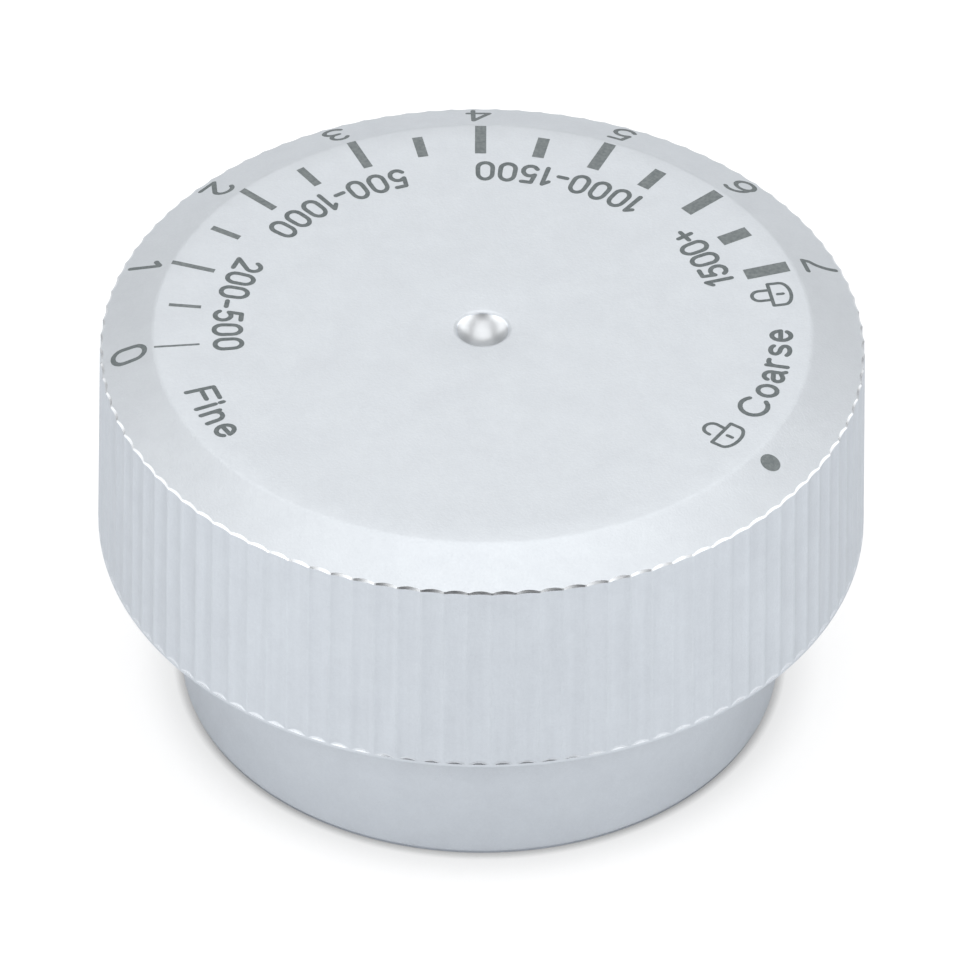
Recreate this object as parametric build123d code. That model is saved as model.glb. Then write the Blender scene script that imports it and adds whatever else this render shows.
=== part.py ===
"""Grinder knob: one turned aluminium knob with a finely fluted, slightly tapered grip, a plain collar and a
hollow underside.

Millimetres, +Z up. The origin is the centre of the collar's foot, where the knob stands.
A flute is centred on the front, -Y.
"""
from build123d import *

import os
from math import cos, degrees, pi, radians, sin, tan

# Overall sizes. The grip widens downwards by its taper, and its radius is taken at its upper edge.
GRIP_RADIUS = 30.0
GRIP_TAPER = radians(1.5)
COLLAR_RADIUS = 24.0
TOTAL_HEIGHT = 33.75
COLLAR_HEIGHT = 14.8

# Top face and the shallow cone round it
TOP_FLAT_RADIUS = 25.82
TOP_CONE_DROP = 1.6

# Flutes: shallow scallops side by side, with a narrow land between each two, measured at the grip's upper edge
FLUTE_COUNT = 104
FLUTE_DEPTH = 0.10
LAND_WIDTH = 0.16

# Bevel that follows the fluted edge of the top
BEVEL_HEIGHT = 0.07
BEVEL_LEAN = radians(45.0)

# Plain ring below the flutes, and the steep turned shoulder that they run out on
RING_HEIGHT = 0.37
SHOULDER_STEEPNESS = 2.5
SHOULDER_DEPTH = 0.14
RING_EDGE_CHAMFER = 0.15

# Polished dimple in the middle of the top
DIMPLE_RADIUS = 2.0
DIMPLE_RIM_SLOPE = radians(50.0)
DIMPLE_RIM_ROUND = 0.5

# Hollow underside: skirt, ceiling, low hub and a blind hole for the spindle's thread
SKIRT_WALL = 3.0
CEILING_Z = 17.0
CEILING_CHAMFER = 1.0
HUB_RADIUS = 9.0
HUB_HEIGHT = 3.0
HUB_CHAMFER = 0.5
THREAD_CORE_RADIUS = 3.4
THREAD_DEPTH = 12.0
THREAD_MOUTH_CHAMFER = 0.7
DRILL_POINT_HALF_ANGLE = radians(59.0)
FOOT_BEVEL_HEIGHT = 0.3
FOOT_BEVEL_WIDTH = 0.1

# Worked out from the sizes above
GRIP_TOP_Z = TOTAL_HEIGHT - TOP_CONE_DROP
TOP_CONE_SLOPE = TOP_CONE_DROP / (GRIP_RADIUS - TOP_FLAT_RADIUS)
FLUTE_FOOT_Z = COLLAR_HEIGHT + RING_HEIGHT
BEVEL_FOOT_Z = GRIP_TOP_Z - BEVEL_HEIGHT
BEVEL_RUN = BEVEL_HEIGHT * (1 - TOP_CONE_SLOPE * tan(GRIP_TAPER)) / (1 / tan(BEVEL_LEAN) - TOP_CONE_SLOPE)
SKIRT_INNER_RADIUS = COLLAR_RADIUS - SKIRT_WALL
HUB_FACE_Z = CEILING_Z - HUB_HEIGHT
THREAD_END_Z = HUB_FACE_Z + THREAD_DEPTH
DRILL_POINT_Z = THREAD_END_Z + THREAD_CORE_RADIUS / tan(DRILL_POINT_HALF_ANGLE)

# Cutters reach past the metal by the clearance, and are kept a little narrower than the pitch
CLEARANCE = 1.0
CUTTER_SHARE_OF_PITCH = 0.98


def wall_radius(z):
    """Radius of the grip's tapered wall at height z."""
    return GRIP_RADIUS + (GRIP_TOP_Z - z) * tan(GRIP_TAPER)


def underside_outline():
    """Half section below and inside, from the drill point out to the grip's overhang."""
    return Polyline(
        (0, 0, DRILL_POINT_Z),
        (THREAD_CORE_RADIUS, 0, THREAD_END_Z),
        (THREAD_CORE_RADIUS, 0, HUB_FACE_Z + THREAD_MOUTH_CHAMFER),
        (THREAD_CORE_RADIUS + THREAD_MOUTH_CHAMFER, 0, HUB_FACE_Z),
        (HUB_RADIUS - HUB_CHAMFER, 0, HUB_FACE_Z),
        (HUB_RADIUS, 0, HUB_FACE_Z + HUB_CHAMFER),
        (HUB_RADIUS, 0, CEILING_Z - CEILING_CHAMFER),
        (HUB_RADIUS + CEILING_CHAMFER, 0, CEILING_Z),
        (SKIRT_INNER_RADIUS - CEILING_CHAMFER, 0, CEILING_Z),
        (SKIRT_INNER_RADIUS, 0, CEILING_Z - CEILING_CHAMFER),
        (SKIRT_INNER_RADIUS, 0, FOOT_BEVEL_HEIGHT),
        (SKIRT_INNER_RADIUS + FOOT_BEVEL_WIDTH, 0, 0),
        (COLLAR_RADIUS - FOOT_BEVEL_WIDTH, 0, 0),
        (COLLAR_RADIUS, 0, FOOT_BEVEL_HEIGHT),
        (COLLAR_RADIUS, 0, COLLAR_HEIGHT),
        (wall_radius(COLLAR_HEIGHT) - RING_EDGE_CHAMFER, 0, COLLAR_HEIGHT),
    )


def dimple_outline():
    """Half section of the dimple: a spherical floor, then a rounded rim that meets the flat top smoothly."""
    rim_drop = DIMPLE_RIM_ROUND * (1 - cos(DIMPLE_RIM_SLOPE))
    sphere_radius = DIMPLE_RADIUS / sin(DIMPLE_RIM_SLOPE)
    floor_drop = rim_drop + sphere_radius * (1 - cos(DIMPLE_RIM_SLOPE))
    rim_start = (DIMPLE_RADIUS, 0, TOTAL_HEIGHT - rim_drop)
    rim_end = (DIMPLE_RADIUS + DIMPLE_RIM_ROUND * sin(DIMPLE_RIM_SLOPE), 0, TOTAL_HEIGHT)
    rim = TangentArc(rim_end, rim_start, tangent=(-1, 0, 0))
    floor = TangentArc((0, 0, TOTAL_HEIGHT - floor_drop), rim_start, tangent=(1, 0, 0))
    return floor, rim


def turned_blank():
    """The knob as it leaves the lathe: dimple, top, cone, bevelled grip, collar and hollow underside, no flutes."""
    underside = underside_outline()
    floor, rim = dimple_outline()
    ring_edge_z = COLLAR_HEIGHT + RING_EDGE_CHAMFER
    bevel_foot_radius = wall_radius(BEVEL_FOOT_Z)
    grip = Polyline(
        underside @ 1,
        (wall_radius(ring_edge_z), 0, ring_edge_z),
        (bevel_foot_radius, 0, BEVEL_FOOT_Z),
        (bevel_foot_radius - BEVEL_RUN, 0, BEVEL_FOOT_Z + BEVEL_RUN / tan(BEVEL_LEAN)),
        (TOP_FLAT_RADIUS, 0, TOTAL_HEIGHT),
        rim @ 0,
    )
    axis = Line(floor @ 0, underside @ 0)
    return revolve(make_face([*underside.edges(), *grip.edges(), rim, floor, axis]), Axis.Z)


def cutter_radius():
    """Radius of the round cutter that leaves a flute of the right depth between two lands."""
    half_angle = pi / FLUTE_COUNT - LAND_WIDTH / 2 / GRIP_RADIUS
    half_chord = GRIP_RADIUS * sin(half_angle)
    rise = FLUTE_DEPTH - GRIP_RADIUS * (1 - cos(half_angle))
    return (half_chord**2 + rise**2) / (2 * rise)


def form_cutter():
    """The cutter of one flute, upright: a straight stem, and over z = 0 a flare that cuts the bevel.

    Only the side that cuts is kept. The grip's wall is the plane y = 0, with the metal behind it.
    """
    radius = cutter_radius()
    stem = BEVEL_FOOT_Z - FLUTE_FOOT_Z + CLEARANCE
    outline = Polyline(
        (0, 0, -stem),
        (radius, 0, -stem),
        (radius, 0, 0),
        (radius + CLEARANCE * tan(BEVEL_LEAN - GRIP_TAPER), 0, CLEARANCE),
        (0, 0, CLEARANCE),
        close=True,
    )
    width = CUTTER_SHARE_OF_PITCH * 2 * pi * GRIP_RADIUS / FLUTE_COUNT
    kept = Box(width, 2 * CLEARANCE, 2 * (stem + CLEARANCE))
    return Pos(0, FLUTE_DEPTH - radius, 0) * revolve(make_face(outline), Axis.Z) & kept


def shoulder():
    """The steep turned cone that the flutes run out on, so that each flute ends on a small lens of it."""
    foot_radius = wall_radius(FLUTE_FOOT_Z)
    low = Pos(0, 0, FLUTE_FOOT_Z - CLEARANCE * SHOULDER_STEEPNESS)
    height = (CLEARANCE + SHOULDER_DEPTH) * SHOULDER_STEEPNESS
    align = (Align.CENTER, Align.CENTER, Align.MIN)
    return low * Cone(foot_radius + CLEARANCE, foot_radius - SHOULDER_DEPTH, height, align=align)


def flute():
    """What the cutter takes away at the front, -Y, when it leans in with the wall and stops on the shoulder."""
    place = Pos(0, -wall_radius(BEVEL_FOOT_Z), BEVEL_FOOT_Z) * Rot(-degrees(GRIP_TAPER), 0, 0)
    return place * form_cutter() - shoulder()


def knob():
    """The finished knob: one solid."""
    front = flute()
    return turned_blank() - [turn * front for turn in PolarLocations(0, FLUTE_COUNT)]


os.makedirs("parts", exist_ok=True)
export_step(knob(), "parts/knob_body.step")
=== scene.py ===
"""Looks of the grinder knob: blasted and anodised aluminium, with bright-cut edges and grey laser marks."""

from math import cos, hypot, pi, radians, sin, tan

import bpy
import numpy as np
from mathutils import Matrix, Vector
from mathutils.geometry import delaunay_2d_cdt


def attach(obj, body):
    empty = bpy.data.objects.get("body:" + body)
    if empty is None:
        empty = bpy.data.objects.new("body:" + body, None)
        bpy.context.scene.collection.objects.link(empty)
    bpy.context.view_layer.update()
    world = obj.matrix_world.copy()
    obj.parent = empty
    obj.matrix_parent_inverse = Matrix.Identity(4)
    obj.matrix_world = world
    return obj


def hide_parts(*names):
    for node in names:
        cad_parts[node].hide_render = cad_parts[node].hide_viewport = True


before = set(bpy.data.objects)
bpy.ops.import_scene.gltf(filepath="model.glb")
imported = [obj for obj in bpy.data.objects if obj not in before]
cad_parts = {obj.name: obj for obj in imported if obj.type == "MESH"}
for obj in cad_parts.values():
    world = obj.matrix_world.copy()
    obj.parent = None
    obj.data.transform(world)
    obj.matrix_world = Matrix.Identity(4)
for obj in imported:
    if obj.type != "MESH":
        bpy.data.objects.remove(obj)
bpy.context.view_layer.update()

MM = 0.001
SAME_POINT = 1e-9        # two points nearer than this are one

# ---------------------------------------------------------------- sizes in mm, as in the part's source
GRIP_RADIUS = 30.0       # at the grip's upper edge
GRIP_TAPER = radians(1.5)
COLLAR_RADIUS = 24.0
TOTAL_HEIGHT = 33.75
COLLAR_HEIGHT = 14.8
TOP_FLAT_RADIUS = 25.82
TOP_CONE_DROP = 1.6
FLUTE_COUNT = 104
FLUTE_DEPTH = 0.10
LAND_WIDTH = 0.16
BEVEL_HEIGHT = 0.07
RING_HEIGHT = 0.37
SHOULDER_STEEPNESS = 2.5
RING_EDGE_CHAMFER = 0.15
DIMPLE_RADIUS = 2.0
DIMPLE_RIM_SLOPE = radians(50.0)
DIMPLE_RIM_ROUND = 0.5
SKIRT_WALL = 3.0
CEILING_Z = 17.0
CEILING_CHAMFER = 1.0
HUB_RADIUS = 9.0
HUB_HEIGHT = 3.0
HUB_CHAMFER = 0.5
THREAD_CORE_RADIUS = 3.4
THREAD_DEPTH = 12.0
THREAD_MOUTH_CHAMFER = 0.7
DRILL_POINT_HALF_ANGLE = radians(59.0)
FOOT_BEVEL_HEIGHT = 0.3
FOOT_BEVEL_WIDTH = 0.1

GRIP_TOP_Z = TOTAL_HEIGHT - TOP_CONE_DROP
CONE_SLOPE = TOP_CONE_DROP / (GRIP_RADIUS - TOP_FLAT_RADIUS)
FLUTE_FOOT_Z = COLLAR_HEIGHT + RING_HEIGHT
BEVEL_FOOT_Z = GRIP_TOP_Z - BEVEL_HEIGHT
SKIRT_INNER_RADIUS = COLLAR_RADIUS - SKIRT_WALL
HUB_FACE_Z = CEILING_Z - HUB_HEIGHT
THREAD_END_Z = HUB_FACE_Z + THREAD_DEPTH
PITCH = 2 * pi / FLUTE_COUNT

# ---------------------------------------------------------------- forms that only the looks have, in mm
THREAD_MAJOR_RADIUS = 4.0
THREAD_PITCH = 1.25
GROOVE_STEEPNESS = 1.5   # the thread's groove is a triangle wave, raised by this factor,
GROOVE_CUT_OFF = 0.2     # lowered by this share of its depth, and flat where it passes 0 or 1
EDGE_SOFTNESS = 0.22     # how far the edge between flat and cone is rounded to each side
LENS_CUT = 0.46          # share of a lens's height that the blasting leaves bare

# ---------------------------------------------------------------- how finely the knob's mesh is divided
FLUTE_STEPS = 8          # columns across one flute
LAND_STEPS = 2           # columns across one land
FLUTE_COLUMNS = FLUTE_STEPS + LAND_STEPS
TURNED_COLUMNS = 2 * FLUTE_COUNT
THREAD_ROWS = 12         # to one turn of the thread
RIM_STEPS = 6            # across the dimple's rounded rim
BOWL_STEPS = 14          # from that rim to the middle of the dimple
EDGE_BAND = 2.0          # mm; rings this far from an edge keep its shading near it
DIMPLE_BAND = 3 * DIMPLE_RADIUS
BEVEL_PASSES = 40        # more than enough for the bevel's run to settle

# Finishes, by their place among the knob's materials. CUP is the dimple's, and the thread's.
# the collar's satin finish has shade from the overhang painted into its colour
SATIN, DRAWN, PAINTED_SHADE, CUP, CUT, BEVEL, LENS = range(7)


def wall_radius(z):
    """Radius of the grip's tapered wall at height z."""
    return GRIP_RADIUS + (GRIP_TOP_Z - z) * tan(GRIP_TAPER)


OVERHANG_RADIUS = wall_radius(COLLAR_HEIGHT) - RING_EDGE_CHAMFER


def surface_z(radius):
    """Height of the knob's top at a radius: the flat, the softened edge, then the cone."""
    knots = (TOP_FLAT_RADIUS - EDGE_SOFTNESS, TOP_FLAT_RADIUS, TOP_FLAT_RADIUS + EDGE_SOFTNESS, GRIP_RADIUS)
    drops = (0.0, EDGE_SOFTNESS / 4, EDGE_SOFTNESS, GRIP_RADIUS - TOP_FLAT_RADIUS)
    return TOTAL_HEIGHT - CONE_SLOPE * float(np.interp(radius, knots, drops))


def cutter_radius():
    """Radius of the round cutter that leaves a flute of the right depth between two lands."""
    half_angle = PITCH / 2 - LAND_WIDTH / 2 / GRIP_RADIUS
    half_chord = GRIP_RADIUS * sin(half_angle)
    rise = FLUTE_DEPTH - GRIP_RADIUS * (1 - cos(half_angle))
    return (half_chord**2 + rise**2) / (2 * rise)


def fluted_columns(wall, inset=0.0):
    """Angle and radius of every column on a fluted wall, moved inwards by inset: one number, or one a column.

    A flute's columns run from its middle to its edge, over the middle of the land, and then from the edge of
    the next flute towards that flute's middle.
    """
    half = FLUTE_STEPS // 2
    outwards = np.linspace(0, 1, half + 1)
    share = np.tile(np.r_[outwards, np.nan, -outwards[:0:-1]], FLUTE_COUNT)
    crest = np.isnan(share)
    flute = np.repeat(np.arange(FLUTE_COUNT), FLUTE_COLUMNS)
    past_land = np.tile(np.arange(FLUTE_COLUMNS) > half + 1, FLUTE_COUNT)

    land = wall - np.broadcast_to(inset, share.shape)
    cutter = cutter_radius() + inset
    centre = wall - FLUTE_DEPTH + cutter_radius()
    edge = np.arccos((land**2 + centre**2 - cutter**2) / (2 * land * centre))
    local = np.where(crest, PITCH / 2, share * edge)
    floor = centre * np.cos(local) - np.sqrt(np.maximum(cutter**2 - (centre * np.sin(local))**2, 0))
    return flute * PITCH + np.where(past_land, PITCH, 0) + local, np.where(crest, land, floor)


def bevel_inset():
    """How far in each column's bevel runs, at 45 degrees, before it meets the cone round the top."""
    inset = np.full(FLUTE_COUNT * FLUTE_COLUMNS, BEVEL_HEIGHT)
    for _ in range(BEVEL_PASSES):
        radius = fluted_columns(wall_radius(BEVEL_FOOT_Z), inset)[1]
        inset = TOTAL_HEIGHT - CONE_SLOPE * (radius - TOP_FLAT_RADIUS) - BEVEL_FOOT_Z
    return inset


# ---------------------------------------------------------------- mesh building
def add_object(name, data):
    """A new object in the scene, for a mesh, a light or a camera."""
    item = bpy.data.objects.new(name, data)
    bpy.context.scene.collection.objects.link(item)
    return item


def mesh_in_mm(name, points, faces):
    """A mesh from points in millimetres."""
    mesh = bpy.data.meshes.new(name)
    mesh.from_pydata([(x * MM, y * MM, z * MM) for x, y, z in points], [], faces)
    return mesh


class Shell:
    """Rings of points joined by faces. Each strip of faces has a finish, and a ring may be a sharp edge."""

    def __init__(self):
        self.points, self.faces, self.finishes, self.sharp = [], [], [], []

    def ring(self, radius, z, angles=None, sharp=False):
        """Adds a ring; radius and z are one number or one a column; angles count from the front, -Y."""
        if angles is None:
            angles = np.arange(TURNED_COLUMNS) * 2 * pi / TURNED_COLUMNS
        radius, z = (np.broadcast_to(np.asarray(v, float), angles.shape) for v in (radius, z))
        first = len(self.points)
        self.points += [(r * sin(a), -r * cos(a), h) for r, a, h in zip(radius, angles, z)]
        ring = list(range(first, first + len(angles)))
        if sharp:
            self.mark_sharp(ring)
        return ring

    def mark_sharp(self, ring):
        """Makes the edges along a ring sharp."""
        self.sharp += [(a, b) for a, b in zip(ring, ring[1:] + ring[:1]) if a != b]

    def join(self, outer, inner, finish):
        """Faces between two rings. The second may have fewer points, by a whole factor."""
        factor = len(outer) // len(inner)
        for i in range(len(inner)):
            fine = [outer[(i * factor + k) % len(outer)] for k in range(factor + 1)]
            corners = fine + [inner[(i + 1) % len(inner)], inner[i]]
            corners = [p for k, p in enumerate(corners) if p != corners[k - 1]]
            if len(corners) > 2:
                self.faces.append(corners)
                self.finishes.append(finish)

    def strip(self, rings, finish):
        """Faces from each ring to the next."""
        for outer, inner in zip(rings, rings[1:]):
            self.join(outer, inner, finish)

    def cap(self, ring, z, finish):
        """Closes a ring with a fan to a point on the axis."""
        self.points.append((0.0, 0.0, z))
        tip = len(self.points) - 1
        for a, b in zip(ring, ring[1:] + ring[:1]):
            self.faces.append([a, b, tip])
            self.finishes.append(finish)

    def build(self, name, materials):
        """The finished piece, with smooth faces between its sharp edges."""
        mesh = mesh_in_mm(name, self.points, self.faces)
        for item in materials:
            mesh.materials.append(item)
        mesh.polygons.foreach_set("material_index", self.finishes)
        mesh.polygons.foreach_set("use_smooth", [True] * len(mesh.polygons))
        edges = {tuple(sorted(e.vertices)): e.index for e in mesh.edges}
        flags = [False] * len(mesh.edges)
        for a, b in self.sharp:
            index = edges.get((min(a, b), max(a, b)))
            if index is not None:
                flags[index] = True
        mesh.attributes.new("sharp_edge", "BOOLEAN", "EDGE").data.foreach_set("value", flags)
        mesh.validate()
        mesh.update()
        return add_object(name, mesh)


def raised(low, high, rise):
    """The high ring's points, and the low ring's where the two rings meet."""
    return [a if height < SAME_POINT else b for a, b, height in zip(low, high, rise)]


# ---------------------------------------------------------------- the knob's sections
def grip(shell):
    """Bevel, fluted walls, lenses of the turned shoulder, and plain ring.

    Returns the ring at its top, that ring's angles, and the ring at its bottom.
    """
    upper, lower = wall_radius(BEVEL_FOOT_Z), wall_radius(FLUTE_FOOT_Z)
    inset = bevel_inset()
    bevel_angles, bevel_radius = fluted_columns(upper, inset)
    bevel_top = shell.ring(bevel_radius, BEVEL_FOOT_Z + inset, angles=bevel_angles, sharp=True)
    upper_angles, upper_wall = fluted_columns(upper)
    bevel_foot = shell.ring(upper_wall, BEVEL_FOOT_Z, angles=upper_angles, sharp=True)

    # each flute ends on a lens of the shoulder, whose lower share is bare metal
    angles, lower_wall = fluted_columns(lower)
    rise = (lower - lower_wall) / (1 / SHOULDER_STEEPNESS - tan(GRIP_TAPER))
    ring_top = shell.ring(lower, FLUTE_FOOT_Z, angles=angles, sharp=True)
    lens_top = shell.ring(lower_wall - rise * tan(GRIP_TAPER), FLUTE_FOOT_Z + rise, angles=angles)
    lens_top = raised(ring_top, lens_top, rise)
    shell.mark_sharp(lens_top)
    bare = np.maximum(rise - (1 - LENS_CUT) * rise.max(), 0.0)
    bare_top = shell.ring(lower - bare / SHOULDER_STEEPNESS, FLUTE_FOOT_Z + bare, angles=angles)
    bare_top = raised(ring_top, bare_top, bare)

    # the two edges of each land
    for flute in range(FLUTE_COUNT):
        for edge in (FLUTE_STEPS // 2, FLUTE_STEPS // 2 + LAND_STEPS):
            column = flute * FLUTE_COLUMNS + edge
            shell.sharp.append((bevel_top[column], bevel_foot[column]))
            shell.sharp.append((bevel_foot[column], lens_top[column]))

    shell.join(bevel_top, bevel_foot, BEVEL)
    shell.strip([bevel_foot, lens_top, bare_top], DRAWN)
    shell.join(bare_top, ring_top, LENS)
    ring_edge_z = COLLAR_HEIGHT + RING_EDGE_CHAMFER
    ring_foot = shell.ring(wall_radius(ring_edge_z), ring_edge_z, angles=angles, sharp=True)
    overhang = shell.ring(OVERHANG_RADIUS, COLLAR_HEIGHT, angles=angles, sharp=True)
    shell.strip([ring_top, ring_foot, overhang], SATIN)
    return bevel_top, bevel_angles, overhang


def underside(shell, overhang):
    """Overhang, collar, foot and the hollow up to its hub. Returns the ring at the threaded hole's mouth."""
    outline = (
        (OVERHANG_RADIUS - EDGE_BAND, COLLAR_HEIGHT),
        (COLLAR_RADIUS, COLLAR_HEIGHT),
        (COLLAR_RADIUS, FOOT_BEVEL_HEIGHT),
        (COLLAR_RADIUS - FOOT_BEVEL_WIDTH, 0.0),
        (SKIRT_INNER_RADIUS + FOOT_BEVEL_WIDTH, 0.0),
        (SKIRT_INNER_RADIUS, FOOT_BEVEL_HEIGHT),
        (SKIRT_INNER_RADIUS, CEILING_Z - CEILING_CHAMFER),
        (SKIRT_INNER_RADIUS - CEILING_CHAMFER, CEILING_Z),
        (HUB_RADIUS + CEILING_CHAMFER, CEILING_Z),
        (HUB_RADIUS, CEILING_Z - CEILING_CHAMFER),
        (HUB_RADIUS, HUB_FACE_Z + HUB_CHAMFER),
        (HUB_RADIUS - HUB_CHAMFER, HUB_FACE_Z),
        (THREAD_CORE_RADIUS + THREAD_MOUTH_CHAMFER, HUB_FACE_Z),
    )
    rings = [shell.ring(radius, z, sharp=True) for radius, z in outline]
    shell.strip([overhang] + rings[:2], SATIN)    # overhang
    # the collar's strip takes the satin with painted shade under the overhang
    shell.strip(rings[1:3], PAINTED_SHADE)            # collar
    shell.strip(rings[2:6], CUT)                  # bevelled foot
    shell.strip(rings[5:], SATIN)                 # skirt, ceiling and hub
    return rings[-1]


def thread(shell, mouth):
    """The threaded hole: a fine helical groove cut outwards from the core, run out at both ends."""
    start = HUB_FACE_Z + THREAD_MOUTH_CHAMFER
    depth = THREAD_MAJOR_RADIUS - THREAD_CORE_RADIUS
    rows = int((THREAD_END_Z - start) / THREAD_PITCH * THREAD_ROWS)
    turn = np.arange(TURNED_COLUMNS) / TURNED_COLUMNS
    previous = mouth
    for row in range(rows + 1):
        z = start + (THREAD_END_Z - start) * row / rows
        wave = 1 - np.abs(2 * ((z / THREAD_PITCH - turn) % 1.0) - 1)
        groove = np.clip(GROOVE_STEEPNESS * wave - GROOVE_CUT_OFF, 0.0, 1.0)
        run_out = min(1.0, 2 * row / THREAD_ROWS, (rows - row) / THREAD_ROWS)
        ring = shell.ring(THREAD_CORE_RADIUS + depth * groove * run_out, z)
        if row in (0, rows):
            shell.mark_sharp(ring)
        shell.join(previous, ring, CUP)
        previous = ring
    shell.cap(previous, THREAD_END_Z + THREAD_CORE_RADIUS / tan(DRILL_POINT_HALF_ANGLE), CUP)


def top(shell, bevel_top, bevel_angles):
    """Cone, softened edge, flat and dimple."""
    rings = [bevel_top]
    for beyond in (EDGE_BAND, EDGE_SOFTNESS, 0.0, -EDGE_SOFTNESS):
        radius = TOP_FLAT_RADIUS + beyond
        rings.append(shell.ring(radius, surface_z(radius), angles=bevel_angles))
    rim_radius = DIMPLE_RADIUS + DIMPLE_RIM_ROUND * sin(DIMPLE_RIM_SLOPE)
    for radius in (TOP_FLAT_RADIUS - EDGE_BAND, DIMPLE_BAND, rim_radius):
        rings.append(shell.ring(radius, TOTAL_HEIGHT))
    shell.strip(rings, SATIN)

    dimple = rings[-1:]
    for step in range(1, RIM_STEPS + 1):
        lean = DIMPLE_RIM_SLOPE * step / RIM_STEPS
        dimple.append(shell.ring(rim_radius - DIMPLE_RIM_ROUND * sin(lean),
                                 TOTAL_HEIGHT - DIMPLE_RIM_ROUND * (1 - cos(lean))))
    sphere = DIMPLE_RADIUS / sin(DIMPLE_RIM_SLOPE)
    bowl_z = (TOTAL_HEIGHT - DIMPLE_RIM_ROUND * (1 - cos(DIMPLE_RIM_SLOPE))
              - sphere * (1 - cos(DIMPLE_RIM_SLOPE)))
    for step in range(1, BOWL_STEPS):
        lean = DIMPLE_RIM_SLOPE * (1 - step / BOWL_STEPS)
        dimple.append(shell.ring(sphere * sin(lean), bowl_z + sphere * (1 - cos(lean))))
    shell.strip(dimple[:RIM_STEPS], SATIN)
    shell.strip(dimple[RIM_STEPS - 1:RIM_STEPS + 1], CUT)
    shell.strip(dimple[RIM_STEPS:], CUP)
    shell.cap(dimple[-1], bowl_z, CUP)


def knob_shell():
    """The whole knob, from the grip down over the foot and up inside to the drill point, then the top."""
    shell = Shell()
    bevel_top, bevel_angles, overhang = grip(shell)
    mouth = underside(shell, overhang)
    thread(shell, mouth)
    top(shell, bevel_top, bevel_angles)
    return shell


# ---------------------------------------------------------------- laser marks: single-stroke signs on the top
PEN = 0.40               # stroke width of signs, in mm
LOCK_PEN = 0.3           # and of the padlocks
NIB_CORNERS = 8
BAR_STEPS = 16
PROUD = 0.006            # height of a mark over the metal
SUNK = 0.02              # depth of its foot inside the metal
PATTERN_CENTRE = (-0.23, 0.11)   # the marks sit a little off the knob's axis
MERGE_WITHIN = 1e-5      # corners of a sheet nearer than this become one


def arc(cx, cy, rx, ry, start, end, steps):
    """Points on an ellipse's arc, angles in degrees, anticlockwise from +x."""
    angles = [radians(start + (end - start) * k / steps) for k in range(steps + 1)]
    return [(cx + rx * cos(a), cy + ry * sin(a)) for a in angles]


def oval(cx, cy, rx, ry, steps=14):
    """A closed ellipse, from its top round to its top."""
    points = arc(cx, cy, rx, ry, 90, 450, steps)
    return points[:-1] + points[:1]


# Each sign is its width and its strokes, on a cap height of 1
SIGNS = {
    "0": (0.60, [arc(0.30, 0.68, 0.28, 0.30, 0, 180, 8) + arc(0.30, 0.32, 0.28, 0.30, 180, 360, 8)
                 + [(0.58, 0.68)]]),
    "1": (0.30, [[(0.02, 0.76), (0.24, 0.96), (0.24, 0.0)]]),
    "2": (0.58, [arc(0.29, 0.70, 0.26, 0.27, 165, -30, 9) + [(0.04, 0.03), (0.58, 0.03)]]),
    "3": (0.58, [arc(0.28, 0.73, 0.23, 0.24, 155, -90, 9) + [(0.20, 0.49)],
                 arc(0.28, 0.26, 0.27, 0.24, 90, -155, 9)]),
    "4": (0.62, [[(0.47, 0.0), (0.47, 0.97), (0.02, 0.26), (0.62, 0.26)]]),
    "5": (0.58, [[(0.54, 0.96), (0.14, 0.96), (0.08, 0.50)] + arc(0.29, 0.31, 0.27, 0.29, 135, -150, 10)]),
    "6": (0.60, [oval(0.30, 0.31, 0.27, 0.29), arc(0.36, 0.56, 0.33, 0.42, 60, 195, 8)]),
    "7": (0.56, [[(0.02, 0.96), (0.55, 0.96)] + arc(0.75, 0.0, 0.54, 0.85, 118, 180, 6)]),
    "-": (0.34, [[(0.0, 0.36), (0.34, 0.36)]]),
    "+": (0.56, [[(0.0, 0.42), (0.56, 0.42)], [(0.28, 0.14), (0.28, 0.70)]]),
    "F": (0.60, [[(0.06, 0.0), (0.06, 0.96), (0.62, 0.96)], [(0.06, 0.52), (0.54, 0.52)]]),
    "i": (0.12, [[(0.06, 0.0), (0.06, 0.70)], [(0.06, 0.87), (0.06, 0.99)]]),
    "n": (0.50, [[(0.06, 0.0), (0.06, 0.70)],
                 [(0.06, 0.42)] + arc(0.26, 0.44, 0.19, 0.23, 150, 0, 7) + [(0.45, 0.0)]]),
    "e": (0.54, [[(0.06, 0.37), (0.49, 0.37)] + arc(0.27, 0.35, 0.22, 0.32, 4, 325, 12)]),
    "C": (0.84, [arc(0.46, 0.49, 0.40, 0.46, 38, 322, 14)]),
    "o": (0.58, [oval(0.29, 0.35, 0.24, 0.32)]),
    "a": (0.54, [arc(0.26, 0.46, 0.19, 0.21, 165, 0, 7) + [(0.45, 0.12), (0.51, 0.0)],
                 [(0.45, 0.40), (0.20, 0.35)] + arc(0.20, 0.19, 0.15, 0.16, 105, 290, 8) + [(0.45, 0.16)]]),
    "r": (0.38, [[(0.06, 0.0), (0.06, 0.70)], [(0.06, 0.40)] + arc(0.27, 0.44, 0.20, 0.22, 160, 72, 5)]),
    "s": (0.54, [arc(0.28, 0.51, 0.20, 0.16, 25, 250, 8) + arc(0.26, 0.19, 0.22, 0.16, 75, -150, 9)]),
}

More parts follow.
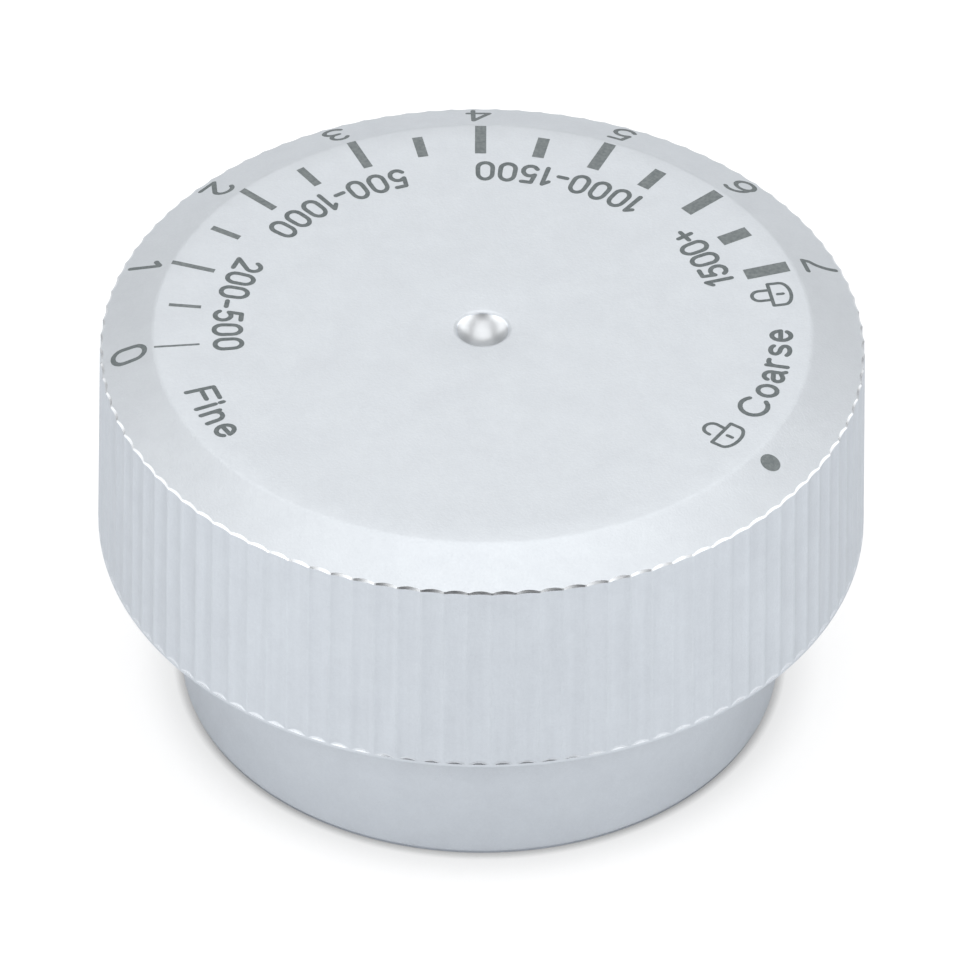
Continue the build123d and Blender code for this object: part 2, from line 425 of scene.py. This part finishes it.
# The strokes of the two padlocks, in millimetres, with the shackle upwards
PADLOCK = [[(-1.34, 0.2), (1.34, 0.2)] + arc(0.0, -0.7, 1.34, 0.72, 0, -180, 10) + [(-1.34, 0.2)],
           [(0.0, -0.8), (0.0, -0.35)]]
SHACKLE = [[(-0.61, 0.2), (-0.61, 1.1)] + arc(0.0, 1.1, 0.61, 0.6, 180, 0, 8) + [(0.61, 0.2)]]
OPEN_SHACKLE = [[(0.58, 0.2), (0.66, 1.05)] + arc(0.0, 1.05, 0.66, 0.64, 0, 180, 8) + [(-0.68, 0.85)]]


def penned(points, width):
    """Convex pieces that a round pen leaves along a stroke: bars along it, and an octagon at each point."""
    pieces = []
    turns = [pi / NIB_CORNERS + k * 2 * pi / NIB_CORNERS for k in range(NIB_CORNERS)]
    nib = [(width / 2 * cos(turn), width / 2 * sin(turn)) for turn in turns]
    for (ax, ay), (bx, by) in zip(points, points[1:]):
        length = hypot(bx - ax, by - ay)
        if length < SAME_POINT:
            continue
        nx, ny = (ay - by) / length * width / 2, (bx - ax) / length * width / 2
        pieces.append([(ax - nx, ay - ny), (bx - nx, by - ny), (bx + nx, by + ny), (ax + nx, ay + ny)])
    pieces += [[(x + u, y + v) for u, v in nib] for x, y in points]
    return pieces


def bar(length, width):
    """A stroke with square ends along y, in short pieces, so that it follows the top."""
    rows = [length * k / BAR_STEPS for k in range(BAR_STEPS + 1)]
    half = width / 2
    return [[(-half, a), (half, a), (half, b), (-half, b)] for a, b in zip(rows, rows[1:])]


def flatten(pieces):
    """One clean flat sheet of triangles over all the convex pieces: points and triangles."""
    corners, faces = [], []
    for piece in pieces:
        faces.append(list(range(len(corners), len(corners) + len(piece))))
        corners += [Vector(p) for p in piece]
    points, _, triangles, _, _, sources = delaunay_2d_cdt(corners, [], faces, 0, MERGE_WITHIN)
    return [tuple(p) for p in points], [tuple(t) for t, source in zip(triangles, sources) if source]


class Marks:
    """A set of marks gathered into one piece of thin plates that follow the top."""

    def __init__(self):
        self.points, self.faces = [], []

    def plate(self, pieces, place):
        """Adds flat pieces, laid on the top by place(x, y), as one thin closed plate."""
        points, triangles = flatten(pieces)
        first, count = len(self.points), len(points)
        for lift in (PROUD, -SUNK):
            for x, y in points:
                px, py = place(x, y)
                px, py = px + PATTERN_CENTRE[0], py + PATTERN_CENTRE[1]
                self.points.append((px, py, surface_z(hypot(px, py)) + lift))
        edges = {(t[i - 1], t[i]) for t in triangles for i in range(3)}
        for t in triangles:
            self.faces.append([first + i for i in t])
            self.faces.append([first + count + i for i in reversed(t)])
        for a, b in edges:
            if (b, a) not in edges:
                self.faces.append([first + b, first + a, first + count + a, first + count + b])

    def lettering(self, text, middle, baseline, height, gap, stretch):
        """Writes text along an arc, centred on an angle, anticlockwise, with tops towards the centre."""
        def place(x, y):
            radius = baseline - y * height
            angle = radians(middle) + x * height / baseline
            return radius * cos(angle), radius * sin(angle)

        widths = [SIGNS[sign][0] * stretch for sign in text]
        start = -(sum(widths) + gap * (len(text) - 1)) / 2
        for sign, width in zip(text, widths):
            strokes = [[(x * stretch + start, y) for x, y in stroke] for stroke in SIGNS[sign][1]]
            self.plate([piece for stroke in strokes for piece in penned(stroke, PEN / height)], place)
            start += width + gap

    def drawing(self, pieces, middle, radius):
        """Lays flat pieces round a point of the ring, in mm; y runs towards the centre, x anticlockwise."""
        away = radians(middle)

        def place(x, y):
            return (radius - y) * cos(away) - x * sin(away), (radius - y) * sin(away) + x * cos(away)

        self.plate(pieces, place)

    def build(self, name, grey):
        """The finished piece. It moves with the knob's body."""
        mesh = mesh_in_mm(name, self.points, self.faces)
        mesh.materials.append(grey)
        mesh.validate()
        mesh.update()
        piece = add_object(name, mesh)
        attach(piece, "root")
        return piece


# ---------------------------------------------------------------- material nodes
AO_SAMPLES = 4
NOISE_LOW, NOISE_HIGH = 0.3, 0.7         # nearly all of a noise texture lies between these
GRAIN_DEPTH = 0.00002                    # metres
ANODISED_EDGE = (0.6, 0.6, 0.6, 1.0)     # anodising takes off some of the metal's shine at glancing angles


def material(name, metallic, roughness, base):
    """A new material, with its node tree and its shader."""
    mat = bpy.data.materials.new(name)
    mat.use_nodes = True
    tree = mat.node_tree
    shader = tree.nodes["Principled BSDF"]
    shader.inputs["Metallic"].default_value = metallic
    shader.inputs["Roughness"].default_value = roughness
    shader.inputs["Base Color"].default_value = (*base, 1.0)
    return mat, tree, shader


def noise(tree, scale, detail=2.0, roughness=0.5, stretch=None):
    """A noise texture in object space; scale is in features a metre."""
    where = tree.nodes.new("ShaderNodeTexCoord").outputs["Object"]
    if stretch:
        mapping = tree.nodes.new("ShaderNodeMapping")
        mapping.inputs["Scale"].default_value = stretch
        tree.links.new(where, mapping.inputs["Vector"])
        where = mapping.outputs["Vector"]
    texture = tree.nodes.new("ShaderNodeTexNoise")
    texture.inputs["Scale"].default_value = scale
    texture.inputs["Detail"].default_value = detail
    texture.inputs["Roughness"].default_value = roughness
    tree.links.new(where, texture.inputs["Vector"])
    return texture.outputs["Fac"]


def turning_lines(tree):
    """Noise drawn out round the knob, as a lathe tool leaves it."""
    return noise(tree, scale=2500.0, stretch=(0.2, 0.2, 3.0))


def spread(tree, value, low, high):
    """Maps a noise value's middle range onto low..high."""
    node = tree.nodes.new("ShaderNodeMapRange")
    node.inputs["From Min"].default_value = NOISE_LOW
    node.inputs["From Max"].default_value = NOISE_HIGH
    node.inputs["To Min"].default_value = low
    node.inputs["To Max"].default_value = high
    tree.links.new(value, node.inputs["Value"])
    return node.outputs["Result"]


def tint(tree, value, low, high):
    """Mixes two colours by a noise value."""
    share = spread(tree, value, 0.0, 1.0)
    node = tree.nodes.new("ShaderNodeMix")
    node.data_type = "RGBA"
    factor, first, second = (node.inputs[i] for i in (0, 6, 7))    # its sockets for colours
    first.default_value = (*low, 1.0)
    second.default_value = (*high, 1.0)
    tree.links.new(share, factor)
    return node.outputs[2]


def bump(tree, shader, value, strength):
    """Raises the surface by a noise value, as seen by the light."""
    node = tree.nodes.new("ShaderNodeBump")
    node.inputs["Strength"].default_value = strength
    node.inputs["Distance"].default_value = GRAIN_DEPTH
    tree.links.new(value, node.inputs["Height"])
    tree.links.new(node.outputs["Normal"], shader.inputs["Normal"])


def shade(tree, reach, openness, depth, own=False):
    """A factor that falls from 1 in the open to 1 - depth where the share openness or less is open.

    Only what is within reach, in metres, counts, and with own only the object itself.
    """
    near = tree.nodes.new("ShaderNodeAmbientOcclusion")
    near.samples = AO_SAMPLES
    near.only_local = own
    near.inputs["Distance"].default_value = reach
    node = tree.nodes.new("ShaderNodeMapRange")
    node.inputs["From Min"].default_value = openness
    node.inputs["To Min"].default_value = 1.0 - depth
    tree.links.new(near.outputs["AO"], node.inputs["Value"])
    return node.outputs["Result"]


def scaled(tree, colour, factor):
    """A colour, as a tuple or a node's output, multiplied by a factor."""
    node = tree.nodes.new("ShaderNodeVectorMath")
    node.operation = "SCALE"
    if isinstance(colour, tuple):
        node.inputs[0].default_value = colour
    else:
        tree.links.new(colour, node.inputs[0])
    tree.links.new(factor, node.inputs["Scale"])
    return node.outputs["Vector"]


# ---------------------------------------------------------------- materials
def satin_metal(name, low, high, drawn=False, painted_shade=False):
    """Bead-blasted and anodised: an even silver with very fine grain, of a roughness between low and high.

    The fluted walls show the cutter's faint lines through it; the collar has painted shade under the
    overhang.
    """
    mat, tree, shader = material(name, metallic=1.0, roughness=(low + high) / 2, base=(0.55, 0.59, 0.63))
    shader.inputs["Specular Tint"].default_value = ANODISED_EDGE
    grain = noise(tree, scale=5200.0, detail=3.0)
    cloud = noise(tree, scale=300.0, detail=6.0, roughness=0.8)
    colour = tint(tree, cloud, low=(0.525, 0.549, 0.577), high=(0.562, 0.588, 0.615))
    if drawn:
        lines = noise(tree, scale=1700.0, detail=3.0, roughness=0.6, stretch=(1.0, 1.0, 0.03))
        colour = scaled(tree, colour, spread(tree, lines, low=0.975, high=1.02))
    # painted shade: the colour darkens where the knob's own overhang closes off the sky
    if painted_shade:
        colour = scaled(tree, colour, shade(tree, reach=0.0082, openness=0.9, depth=0.22, own=True))
    tree.links.new(colour, shader.inputs["Base Color"])
    tree.links.new(spread(tree, grain, low, high), shader.inputs["Roughness"])
    bump(tree, shader, grain, strength=0.8)
    return mat


def bare_metal(name, base, low, high):
    """Bare aluminium as the tool leaves it, with faint turning lines and a little dulled by handling."""
    mat, tree, shader = material(name, metallic=1.0, roughness=(low + high) / 2, base=base)
    lines = turning_lines(tree)
    wear = noise(tree, scale=700.0)
    tree.links.new(spread(tree, lines, low, high), shader.inputs["Roughness"])
    tree.links.new(scaled(tree, base, spread(tree, wear, low=0.96, high=1.02)), shader.inputs["Base Color"])
    return mat


def cut_metal(name, low, high):
    """Turned edges, anodised over: smoother than the blasted faces, with faint turning lines."""
    mat, tree, shader = material(name, metallic=1.0, roughness=0.30, base=(0.60, 0.63, 0.66))
    shader.inputs["Specular Tint"].default_value = ANODISED_EDGE
    lines = turning_lines(tree)
    colour = tint(tree, lines, low=(0.565, 0.600, 0.645), high=(0.595, 0.630, 0.675))
    tree.links.new(colour, shader.inputs["Base Color"])
    tree.links.new(spread(tree, lines, low, high), shader.inputs["Roughness"])
    return mat


def mark_grey(name, low, high):
    """Laser-marked anodising: matt neutral grey with the laser's fine hatch."""
    mat, tree, shader = material(name, metallic=0.0, roughness=0.6, base=low)
    speck = noise(tree, scale=3800.0)
    tree.links.new(tint(tree, speck, low, high), shader.inputs["Base Color"])
    shader.inputs["Specular IOR Level"].default_value = 0.1
    bump(tree, shader, speck, strength=0.3)
    return mat


# ---------------------------------------------------------------- the knob
filled = mark_grey("laser_mark_filled", low=(0.108, 0.122, 0.125), high=(0.158, 0.174, 0.177))
lined = mark_grey("laser_mark_lined", low=(0.086, 0.099, 0.102), high=(0.124, 0.139, 0.142))
finishes = [
    satin_metal("satin_blasted", low=0.44, high=0.52),
    satin_metal("satin_drawn", low=0.50, high=0.58, drawn=True),
    # the collar's satin: shade from the overhang painted into its colour
    satin_metal("satin_painted_shade", low=0.44, high=0.52, painted_shade=True),
    bare_metal("bright_cup", (0.52, 0.535, 0.55), low=0.35, high=0.41),
    cut_metal("turned_anodised", low=0.26, high=0.36),
    bare_metal("bright_bevel", (0.50, 0.515, 0.53), low=0.22, high=0.30),
    bare_metal("bright_lens", (0.54, 0.56, 0.58), low=0.15, high=0.21),
]
knob = knob_shell().build("knob_turned", finishes)
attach(knob, "root")
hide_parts("knob_body")
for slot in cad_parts["knob_body"].material_slots:
    slot.material = finishes[SATIN]

# ---------------------------------------------------------------- its marks
# Lengths are in mm, and angles in degrees, anticlockwise from +X
SCALE_START, SCALE_STEP = 186.14, 24.0           # angle of number 0, and how far clockwise the next one is
LAST_NUMBER = 7
TICK_FOOT = 22.0                                 # radius of the ticks' inner ends
NUMBERED_TICK, HALF_TICK = 25.57, 24.55          # and of the outer ends, at a number and half way to the next
TICK_WIDTH, TICK_GAIN = 0.22, 1.04               # width of the first tick, and how much wider the last is
TICK_CURVE = 0.75                                # under 1, the ticks widen faster near the first
NUMBER_BASELINE, NUMBER_DRIFT = 28.85, 0.106     # the numbers sit a little further out from one to the next
NUMBER_TURNS = (-0.2, 0.3, 0.8, 0.6, 0.3, 0.0, 0.4, 0.3)    # each stands a touch to one side of its line
NUMBER_HEIGHT, NUMBER_STRETCH = 2.6, 1.15
RANGE_BASELINE, RANGE_HEIGHT = 20.85, 2.2
WORDS = (
    # text, angle of its middle, radius of its baseline, height, gap and stretch
    ("Fine", 207.3, 24.22, 2.33, 0.22, 1.2),
    ("Coarse", 346.7, 24.46, 2.38, 0.16, 1.17),
    ("200-500", 172.3, RANGE_BASELINE, RANGE_HEIGHT, 0.24, 1.0),
    ("500-1000", 125.9, RANGE_BASELINE, RANGE_HEIGHT, 0.26, 1.0),
    ("1000-1500", 70.9, RANGE_BASELINE, RANGE_HEIGHT, 0.26, 1.0),
    ("1500+", 27.0, RANGE_BASELINE, RANGE_HEIGHT, 0.2, 1.0),
)
LOCKS = ((SHACKLE, 10.76, 23.48), (OPEN_SHACKLE, 326.12, 22.8))    # shackle, angle and radius
DOT_SIZE, DOT_SIDES = 0.78, 28                   # its own radius, and its corners
DOT_ANGLE, DOT_PLACE = 325.38, 27.36             # its angle, and its distance from the middle

ticks, numbers, words, signs = Marks(), Marks(), Marks(), Marks()
for half in range(2 * LAST_NUMBER + 1):
    number, between = divmod(half, 2)
    step = half / 2
    angle = SCALE_START - SCALE_STEP * step
    outer = HALF_TICK if between else NUMBERED_TICK
    width = TICK_WIDTH + TICK_GAIN * (step / LAST_NUMBER) ** TICK_CURVE
    ticks.drawing(bar(outer - TICK_FOOT, width), angle, outer)
    if not between:
        numbers.lettering(str(number), angle + NUMBER_TURNS[number], NUMBER_BASELINE + NUMBER_DRIFT * step,
                          NUMBER_HEIGHT, gap=0.0, stretch=NUMBER_STRETCH)
for word in WORDS:
    words.lettering(*word)
for shackle, middle, radius in LOCKS:
    pieces = [piece for stroke in PADLOCK + shackle for piece in penned(stroke, LOCK_PEN)]
    signs.drawing(pieces, middle, radius)
dot = arc(0.0, 0.0, DOT_SIZE, DOT_SIZE, 0, 360 - 360 / DOT_SIDES, DOT_SIDES - 1)
ticks.drawing([dot], DOT_ANGLE, DOT_PLACE)

ticks.build("scale_ticks", filled)
numbers.build("scale_numbers", lined)
words.build("scale_words", lined)
signs.build("lock_signs", lined)


# ---------------------------------------------------------------- floor
def plane(name, size, location, rotation=(0, 0, 0)):
    """A rectangle of the stage, in metres."""
    mesh = bpy.data.meshes.new(name)
    x, y = size[0] / 2, size[1] / 2
    mesh.from_pydata([(-x, -y, 0), (x, -y, 0), (x, y, 0), (-x, y, 0)], [], [(0, 1, 2, 3)])
    piece = add_object(name, mesh)
    piece.location, piece.rotation_euler = location, rotation
    return piece


def plain(tree, kind, colour, factor=None):
    """A matt or glowing surface of one colour, multiplied by a factor where one is given."""
    node = tree.nodes.new(kind)
    node.inputs["Color"].default_value = (*colour, 1.0)
    if factor:
        tree.links.new(scaled(tree, colour, factor), node.inputs["Color"])
    return node.outputs[0]


def mixed(tree, factor, first, second):
    """Two surfaces mixed by a number or a node's output."""
    node = tree.nodes.new("ShaderNodeMixShader")
    if isinstance(factor, float):
        node.inputs[0].default_value = factor
    else:
        tree.links.new(factor, node.inputs[0])
    tree.links.new(first, node.inputs[1])
    tree.links.new(second, node.inputs[2])
    return node.outputs[0]


def product(tree, first, second):
    """Two factors multiplied."""
    node = tree.nodes.new("ShaderNodeMath")
    node.operation = "MULTIPLY"
    tree.links.new(first, node.inputs[0])
    tree.links.new(second, node.inputs[1])
    return node.outputs[0]


def white_floor(tree, lit, seen, mirrored):
    """A white floor: its colour as it lights the object, and how the camera and reflections see it.

    Those two are a colour and the share of glow in it, which keeps the shadow a light one. The glow has the
    colour at full brightness. Both carry a contact shadow, painted in where the foot closes off the sky.
    """
    path = tree.nodes.new("ShaderNodeLightPath")
    # painted contact shadow: the floor, as the camera and reflections see it, darkens where the foot closes
    # off the sky
    seen_painted_shadow = product(tree, shade(tree, reach=0.0008, openness=0.5, depth=0.50),
                       shade(tree, reach=0.0040, openness=0.5, depth=0.20))
    mirrored_painted_shadow = shade(tree, reach=0.0005, openness=0.5, depth=0.48)
    surface = plain(tree, "ShaderNodeBsdfDiffuse", lit)
    # gap carries each kind of ray's painted contact shadow
    for ray, (colour, glowing), gap in (("Is Camera Ray", seen, seen_painted_shadow),
                                        ("Is Glossy Ray", mirrored, mirrored_painted_shadow)):
        full = tuple(part / max(colour) for part in colour)
        matt = plain(tree, "ShaderNodeBsdfDiffuse", colour, gap)
        glow = plain(tree, "ShaderNodeEmission", full, gap)
        surface = mixed(tree, path.outputs[ray], surface, mixed(tree, glowing, matt, glow))
    tree.links.new(surface, tree.nodes["Material Output"].inputs["Surface"])


FLOOR_WHITE = (0.8, 0.8, 0.8)
floor = plane("floor", size=(8.0, 8.0), location=(0, 0, 0))
floor_mat, floor_tree, _ = material("floor_white", metallic=0.0, roughness=0.9, base=FLOOR_WHITE)
white_floor(floor_tree, FLOOR_WHITE, seen=((0.96, 0.96, 0.96), 0.62), mirrored=((0.89, 0.905, 0.93), 0.3))
floor.data.materials.append(floor_mat)


# ---------------------------------------------------------------- light, in metres and watts
WORLD_STRENGTH = 0.6
world = bpy.data.worlds.new("studio")
bpy.context.scene.world = world
world.use_nodes = True
background = world.node_tree.nodes["Background"]
background.inputs["Color"].default_value = (1.0, 1.0, 1.0, 1.0)
background.inputs["Strength"].default_value = WORLD_STRENGTH

KNOB_FOOT = (0.0, 0.0, 0.0)
GRIP_MIDDLE = (0.0, 0.0, 0.03)
SOFTBOXES = (
    # name, place, what it faces, size and power
    ("overhead", (0.0, 0.20, 1.0), KNOB_FOOT, (0.95, 1.7), 6.6),
    ("left", (-1.07, 0.05, 0.55), KNOB_FOOT, (1.5, 0.8), 5.7),
    ("right", (1.07, 0.05, 0.55), KNOB_FOOT, (1.5, 0.8), 6.5),
    ("front_left", (-0.8, -0.75, 0.45), KNOB_FOOT, (1.0, 1.0), 6.9),
    ("front_right", (0.8, -0.75, 0.45), KNOB_FOOT, (1.0, 1.0), 4.6),
    ("back", (0.0, 1.3, 0.22), GRIP_MIDDLE, (2.2, 0.4), 3.0),
)
for name, location, target, size, watts in SOFTBOXES:
    light = bpy.data.lights.new(name, "AREA")
    light.shape = "RECTANGLE"
    light.size, light.size_y = size
    light.energy = watts
    lamp = add_object(name, light)
    lamp.location = location
    lamp.rotation_euler = (Vector(target) - Vector(location)).to_track_quat("-Z", "Y").to_euler()

# A dark card on the front side of the studio, which only reflections see
flag = plane("camera_side_flag", size=(1.7, 1.75), location=(0.0, -1.3, 0.85), rotation=(radians(90), 0, 0))
flag_mat, _, _ = material("flag_dark", metallic=0.0, roughness=0.9, base=(0.06, 0.06, 0.065))
flag.data.materials.append(flag_mat)
for ray in ("camera", "diffuse", "shadow", "transmission", "volume_scatter"):
    setattr(flag, "visible_" + ray, False)

# ---------------------------------------------------------------- camera
CAMERA_PITCH = radians(39.33)       # how steeply the line from the camera to the top's centre falls
CAMERA_DISTANCE = 0.750             # along that line, in metres
AIM_BELOW = radians(0.9071)         # the camera aims this far below that line,
AIM_LEFT = radians(0.0156)          # this far to its left,
CAMERA_ROLL = radians(-0.49)        # and is rolled a little
CAMERA_LENS = 359.0625              # mm, on a sensor this wide:
SENSOR_WIDTH = 36.0
NEAR_CLIP = 0.05

data = bpy.data.cameras.new("camera")
data.sensor_width = SENSOR_WIDTH
data.lens = CAMERA_LENS
data.clip_start = NEAR_CLIP
camera = add_object("camera", data)
top_centre = Vector((0, 0, TOTAL_HEIGHT * MM))
camera.location = top_centre + CAMERA_DISTANCE * Vector((0, -cos(CAMERA_PITCH), sin(CAMERA_PITCH)))
aim = Matrix.Rotation(pi / 2 - CAMERA_PITCH, 3, "X") @ Matrix.Rotation(-CAMERA_ROLL, 3, "Z")
aim = aim @ Matrix.Rotation(AIM_LEFT, 3, "Y") @ Matrix.Rotation(-AIM_BELOW, 3, "X")
camera.rotation_euler = aim.to_euler()
bpy.context.scene.camera = camera
bpy.context.scene.view_settings.view_transform = "Standard"
